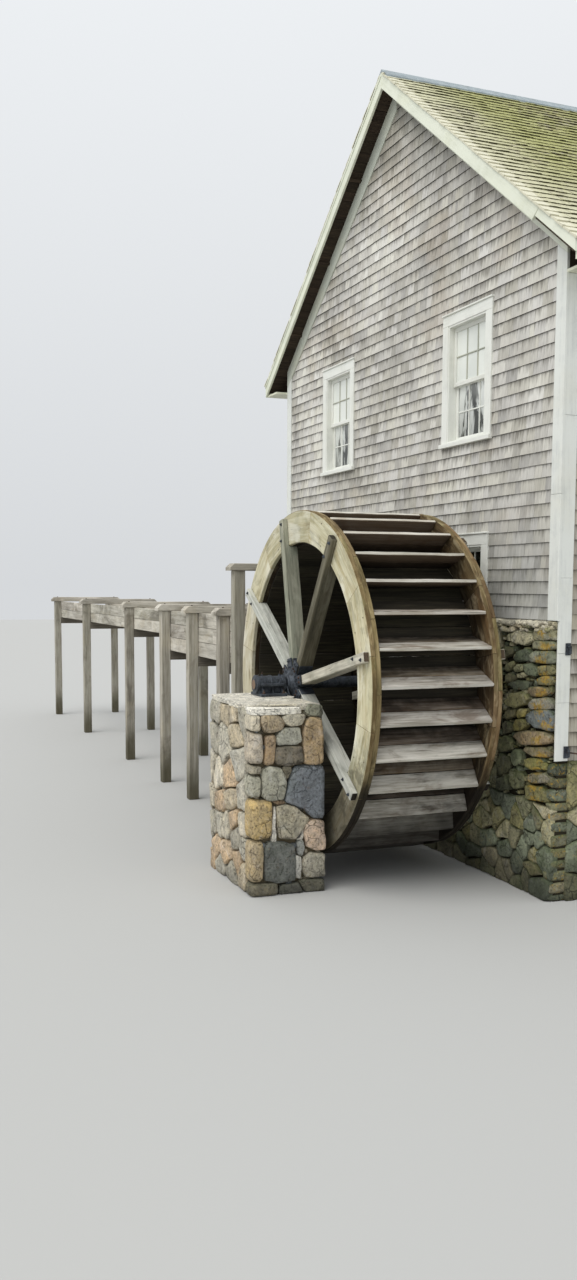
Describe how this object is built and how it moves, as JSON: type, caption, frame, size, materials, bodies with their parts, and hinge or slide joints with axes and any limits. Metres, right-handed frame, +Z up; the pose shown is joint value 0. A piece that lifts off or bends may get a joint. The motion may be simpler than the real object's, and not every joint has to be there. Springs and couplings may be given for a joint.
{
  "type": "watermill",
  "caption": "Small watermill: shingled gable building on a stone foundation, with a timber water wheel that turns on an iron shaft, a stone bearing pier and a timber flume on posts.",
  "frame": {"origin": "on the ground plane, under the middle of the whole model's box", "axes": "+X along the gable wall, away from the flume; +Y into the building, away from the wheel's free side; +Z up"},
  "size_m": [18.085, 11.88, 9.052],
  "materials": {
    "fieldstone": "mossy fieldstone in mortar",
    "pier_stone": "tan and grey fieldstone in mortar",
    "cap_stone": "split pale slabs",
    "wall_shingle": "weathered grey shingles",
    "roof_shingle": "mossy grey-brown shingles",
    "ridge_metal": "dull blue-grey sheet",
    "trim_paint": "off-white paint, weathered",
    "floor_board": "plain boards",
    "glass": "old window glass",
    "door_wood": "plain boards, weathered",
    "new_timber": "pale sawn timber, partly stained",
    "worn_timber": "brown sawn timber, wet and worn",
    "spoke_timber": "grey weathered timber",
    "bucket_timber": "grey-brown boards with pale edges",
    "dark_timber": "wet dark boards",
    "flume_timber": "silver grey planks with dark stains",
    "post_timber": "grey-brown posts",
    "iron": "blue-black, a little rust",
    "steel": "blue-black paint"
  },
  "bodies": {
    "mill": {"foundation_front": "fieldstone", "foundation_side_walls": "fieldstone", "foundation_back": "fieldstone", "front_wall": "wall_shingle", "back_wall": "wall_shingle", "left_wall": "wall_shingle", "right_wall": "wall_shingle", "lower_floor": "floor_board", "upper_floor": "floor_board", "roof_left": "roof_shingle", "roof_right": "roof_shingle", "ridge_cap": "ridge_metal", "rake_boards_left": "trim_paint", "rake_boards_right": "trim_paint", "frieze_boards_left": "trim_paint", "frieze_boards_right": "trim_paint", "eave_left": "trim_paint", "eave_right": "trim_paint", "corner_boards": "trim_paint", "front_windows": "trim_paint", "right_windows": "trim_paint", "back_windows": "trim_paint", "left_windows": "trim_paint", "window_glass": "glass", "entrance_door": "door_wood", "door_frame": "trim_paint", "bearing_pier": "pier_stone", "pier_cap": "cap_stone", "outer_bearing": "iron", "wall_bearing": "iron", "flume_posts": "post_timber", "flume_cap_beams": "flume_timber", "flume_floor_beams": "post_timber", "flume_near_side": "flume_timber", "flume_far_side": "flume_timber", "flume_floor": "flume_timber", "sluice_frame": "flume_timber", "flume_steel_post": "steel"},
    "wheel": {"outer_shroud": "new_timber", "inner_shroud": "worn_timber", "wheel_spokes": "spoke_timber", "wheel_hubs": "iron", "wheel_shaft": "iron", "sole_boards": "dark_timber", "bucket_boards": "bucket_timber"}
  },
  "joints": [
    {"name": "wheel_spin", "type": "hinge", "parent": "mill", "child": "wheel", "pos_m": [6.4575, -4.348, 2], "axis": [0, 1, 0], "continuous": true}
  ]
}
